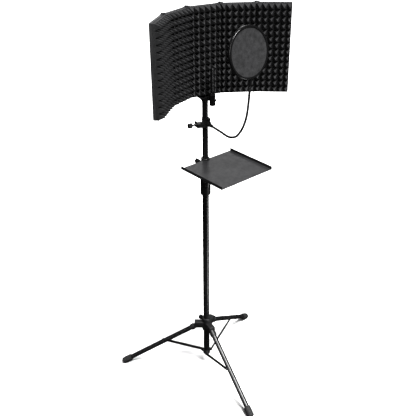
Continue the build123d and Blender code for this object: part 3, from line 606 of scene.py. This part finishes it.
def neck_samples(step):
    """(distance, point, direction) every step along the gooseneck."""
    samples, done = [], 0.0
    for kind, *data in neck_line():
        if kind == "run":
            first, last = data
            length = (last - first).length
        else:
            centre, arm, bend = data
            length = arm.length * abs(bend)
        count = max(1, round(length / step))
        for k in range(count):
            t = k / count
            if kind == "run":
                point, direction = first.lerp(last, t), (last - first).normalized()
            else:
                spoke = Matrix.Rotation(bend * t, 2) @ arm
                point = centre + spoke
                direction = Vector((-spoke.y, spoke.x)).normalized() * (1 if bend > 0 else -1)
            samples.append((done + length * t, point, direction))
        done += length
    samples.append((done, Vector(NECK_ROUTE[-1]) * MM, samples[-1][2]))
    return samples


def gooseneck():
    """Flexible arm wound from wire: a shallow helical groove round a bent rod."""
    bm = bmesh.new()
    around = 20
    rings = []
    for distance, point, direction in neck_samples(NECK_PITCH / 6):
        side = Vector((direction.y, -direction.x))
        ring = []
        for i in range(around):
            a = 2 * math.pi * i / around
            phase = 2 * math.pi * distance / NECK_PITCH - a
            r = NECK_R - NECK_GROOVE * max(0.0, math.cos(phase)) ** 3
            flat = point + side * r * math.cos(a)
            ring.append((flat.x, r * math.sin(a), flat.y - NECK_FLOOR * MM))
        rings.append(ring)
    closed_tube(bm, rings)
    place = Matrix.Translation(column_foot) @ Matrix.Rotation(reach_turn, 4, "Z")
    return mesh_from(bm, "gooseneck_wound", place, math.radians(60))


new_piece("gooseneck_wound", gooseneck(), "gooseneck_metal", "popfilter_arm", ["gooseneck"])


# ------------------------------------------------------------------ thread of the microphone post
def post_thread():
    """Helical ridge over the plain post: 27 turns to the inch."""
    centre = Vector(joints["mic_tilt"]["pos_m"])
    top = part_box("mic_mount_body")[1].z - POST_CHAMFER
    turns = int(THREAD_LENGTH / THREAD_PITCH)
    around = 24
    bm = bmesh.new()
    rings = []
    for k in range(turns * around + 1):
        a = 2 * math.pi * k / around
        z = top - THREAD_LENGTH + THREAD_PITCH * k / around
        foot = POST_R - THREAD_ROOT
        section = ((foot, -THREAD_HALF), (POST_R + THREAD_RELIEF, 0), (foot, THREAD_HALF))
        rings.append([
            (centre.x + r * math.cos(a), centre.y + r * math.sin(a), z + up * THREAD_PITCH)
            for r, up in section
        ])
    closed_tube(bm, rings)
    return mesh_from(bm, "mic_post_thread")


new_piece("mic_post_thread", post_thread(), "mount_metal", "mic_mount")


# ------------------------------------------------------------------ CAD pieces that stay
for part in record["subparts"]:
    node = frame["nodes"][part["node"]]
    if node.hide_render:
        continue
    node.data.materials.clear()
    node.data.materials.append(MATERIALS[part["material_slot"]])


# ------------------------------------------------------------------ floor and light
def add_stage():
    """Pale floor that fills the view."""
    bm = bmesh.new()
    bmesh.ops.create_grid(bm, x_segments=1, y_segments=1, size=FLOOR_HALF)
    place = Matrix.Translation((0, 0, -FLOOR_DROP))
    floor = bpy.data.objects.new("floor", mesh_from(bm, "floor", place))
    bpy.context.scene.collection.objects.link(floor)
    n = Nodes("floor_paper")
    n.colours(n.noise(3), (0.93, 0.93, 0.93), (0.95, 0.95, 0.95))
    n.shader.inputs["Roughness"].default_value = 1.0
    n.shader.inputs["Specular IOR Level"].default_value = 0.0
    floor.data.materials.append(n.material)
    floor.visible_diffuse = False      # the paper doesn't light the object from below
    floor.visible_glossy = False


def add_softbox(name, place, target, width, height, power):
    """Rectangular area light aimed at a point, unseen by the camera."""
    data = bpy.data.lights.new(name, "AREA")
    data.shape = "RECTANGLE"
    data.size = width
    data.size_y = height
    data.energy = power
    lamp = bpy.data.objects.new(name, data)
    bpy.context.scene.collection.objects.link(lamp)
    aim = (Vector(target) - Vector(place)).to_track_quat("-Z", "Y").to_matrix().to_4x4()
    lamp.matrix_world = Matrix.Translation(place) @ aim
    lamp.visible_camera = False


def add_world(backdrop, fill):
    """White surroundings that light the object only weakly."""
    world = bpy.data.worlds.new("studio")
    bpy.context.scene.world = world
    world.use_nodes = True
    tree = world.node_tree
    background = tree.nodes["Background"]
    background.inputs["Color"].default_value = (1, 1, 1, 1)
    rays = tree.nodes.new("ShaderNodeLightPath")
    strength = tree.nodes.new("ShaderNodeMapRange")
    strength.inputs["To Min"].default_value = fill
    strength.inputs["To Max"].default_value = backdrop
    tree.links.new(rays.outputs["Is Camera Ray"], strength.inputs["Value"])
    tree.links.new(strength.outputs["Result"], background.inputs["Strength"])


def add_sun(place, strength, spread):
    """Broad even light from a direction, like a large diffuser far away."""
    data = bpy.data.lights.new("diffuser", "SUN")
    data.energy = strength
    data.angle = spread
    lamp = bpy.data.objects.new("diffuser", data)
    bpy.context.scene.collection.objects.link(lamp)
    lamp.matrix_world = (-Vector(place)).to_track_quat("-Z", "Y").to_matrix().to_4x4()


add_stage()
add_world(BACKDROP, FILL)
add_sun(SUN_FROM, SUN_STRENGTH, SUN_SPREAD)
for softbox in SOFTBOXES:
    add_softbox(*softbox)
bpy.data.objects["gloss"].visible_diffuse = False      # only for highlights
bpy.data.objects["floor_strip"].rotation_euler.z = STRIP_TURN
bpy.context.scene.view_settings.view_transform = "Standard"
bpy.context.scene.view_settings.gamma = VIEW_GAMMA
